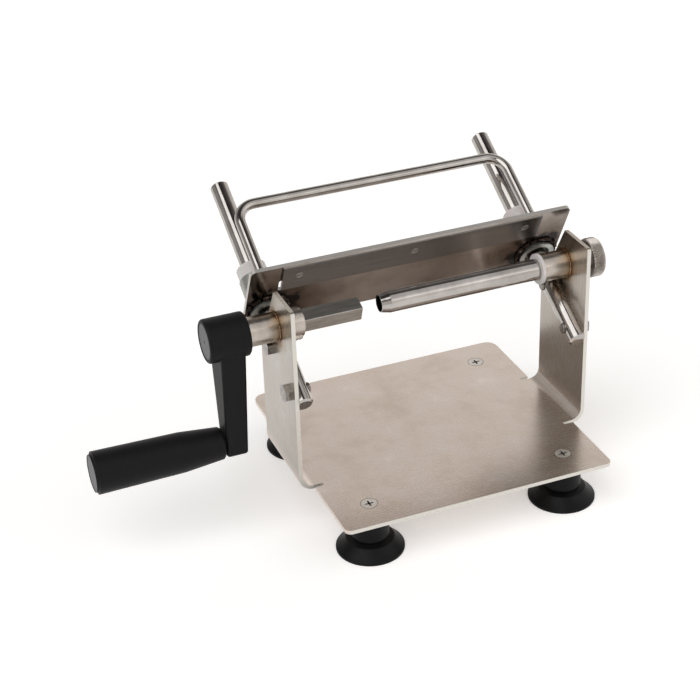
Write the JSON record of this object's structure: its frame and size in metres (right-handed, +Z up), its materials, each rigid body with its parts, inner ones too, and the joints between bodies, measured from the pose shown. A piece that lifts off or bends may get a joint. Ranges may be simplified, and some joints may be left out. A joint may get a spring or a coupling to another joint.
{
  "type": "hand crank potato slicer",
  "caption": "Hand-crank potato slicer: bent steel stand on suction feet, sliding blade carriage on slanted rods, crank with square drive, revolving tail tube.",
  "frame": {"origin": "under the middle of the whole object, on the surface it stands on", "axes": "+X along the crank axis from crank to tail knob, +Y to the back, up the slanted rods, +Z up"},
  "size_m": [0.3984, 0.2388, 0.2095],
  "materials": {
    "sheet_steel": "fine brushed sheet, satin",
    "polished_sheet": "bright rolled sheet",
    "blade_steel": "ground and satin",
    "polished_bar": "polished bar",
    "tube_steel": "drawn tube with heat tint",
    "weld_steel": "rough weld bead, heat tinted",
    "shaft_steel": "milled, satin",
    "fastener_steel": "turned and rolled",
    "knob_steel": "knurled",
    "black_plastic": "fine grained moulding",
    "grey_plastic": "smooth moulding",
    "white_plastic": "turned, slightly translucent",
    "black_rubber": "smooth moulded rubber"
  },
  "bodies": {
    "frame": {"base_frame": "sheet_steel", "suction_foot_front_left": "black_rubber", "suction_foot_front_right": "black_rubber", "suction_foot_back_left": "black_rubber", "suction_foot_back_right": "black_rubber", "foot_inserts": "fastener_steel", "foot_screws": "fastener_steel", "guide_rod_left": "polished_bar", "guide_rod_right": "polished_bar", "rod_bolts": "fastener_steel", "left_bearing_tube": "tube_steel", "right_bearing_tube": "tube_steel", "tube_weld_beads": "weld_steel", "left_shaft_bush": "white_plastic"},
    "crank": {"crank_shaft": "shaft_steel", "crank_arm": "black_plastic", "hub_bolt": "fastener_steel", "hub_cap": "grey_plastic", "grip_spindle": "fastener_steel"},
    "grip": {"handle_grip": "black_plastic", "grip_cap": "grey_plastic"},
    "carriage": {"carriage_plate": "polished_sheet", "blade": "blade_steel", "blade_screws": "fastener_steel", "bail_handle": "polished_bar", "left_sleeve": "tube_steel", "left_slide_bush": "white_plastic", "right_sleeve": "tube_steel", "right_slide_bush": "white_plastic", "sleeve_weld_beads": "weld_steel", "bail_weld_beads": "weld_steel"},
    "tail_bush": {"tail_bush": "white_plastic"},
    "tail": {"tail_tube": "polished_bar", "tail_knob": "knob_steel", "knob_screw": "fastener_steel"}
  },
  "joints": [
    {"name": "crank_turn", "type": "hinge", "parent": "frame", "child": "crank", "pos_m": [-0.0912, -0.02188, 0.154], "axis": [1, 0, 0], "continuous": true},
    {"name": "grip_spin", "type": "hinge", "parent": "crank", "child": "grip", "pos_m": [-0.1512, -0.02188, 0.069], "axis": [1, 0, 0], "continuous": true},
    {"name": "carriage_slide", "type": "slide", "parent": "frame", "child": "carriage", "axis": [0, 0.866, 0.5], "range_m": [-0.0125, 0.075]},
    {"name": "tail_spin", "type": "hinge", "parent": "frame", "child": "tail_bush", "pos_m": [0.1688, -0.02188, 0.154], "axis": [1, 0, 0], "continuous": true},
    {"name": "tail_slide", "type": "slide", "parent": "tail_bush", "child": "tail", "axis": [1, 0, 0], "range_m": [-0.0025, 0.11]}
  ]
}
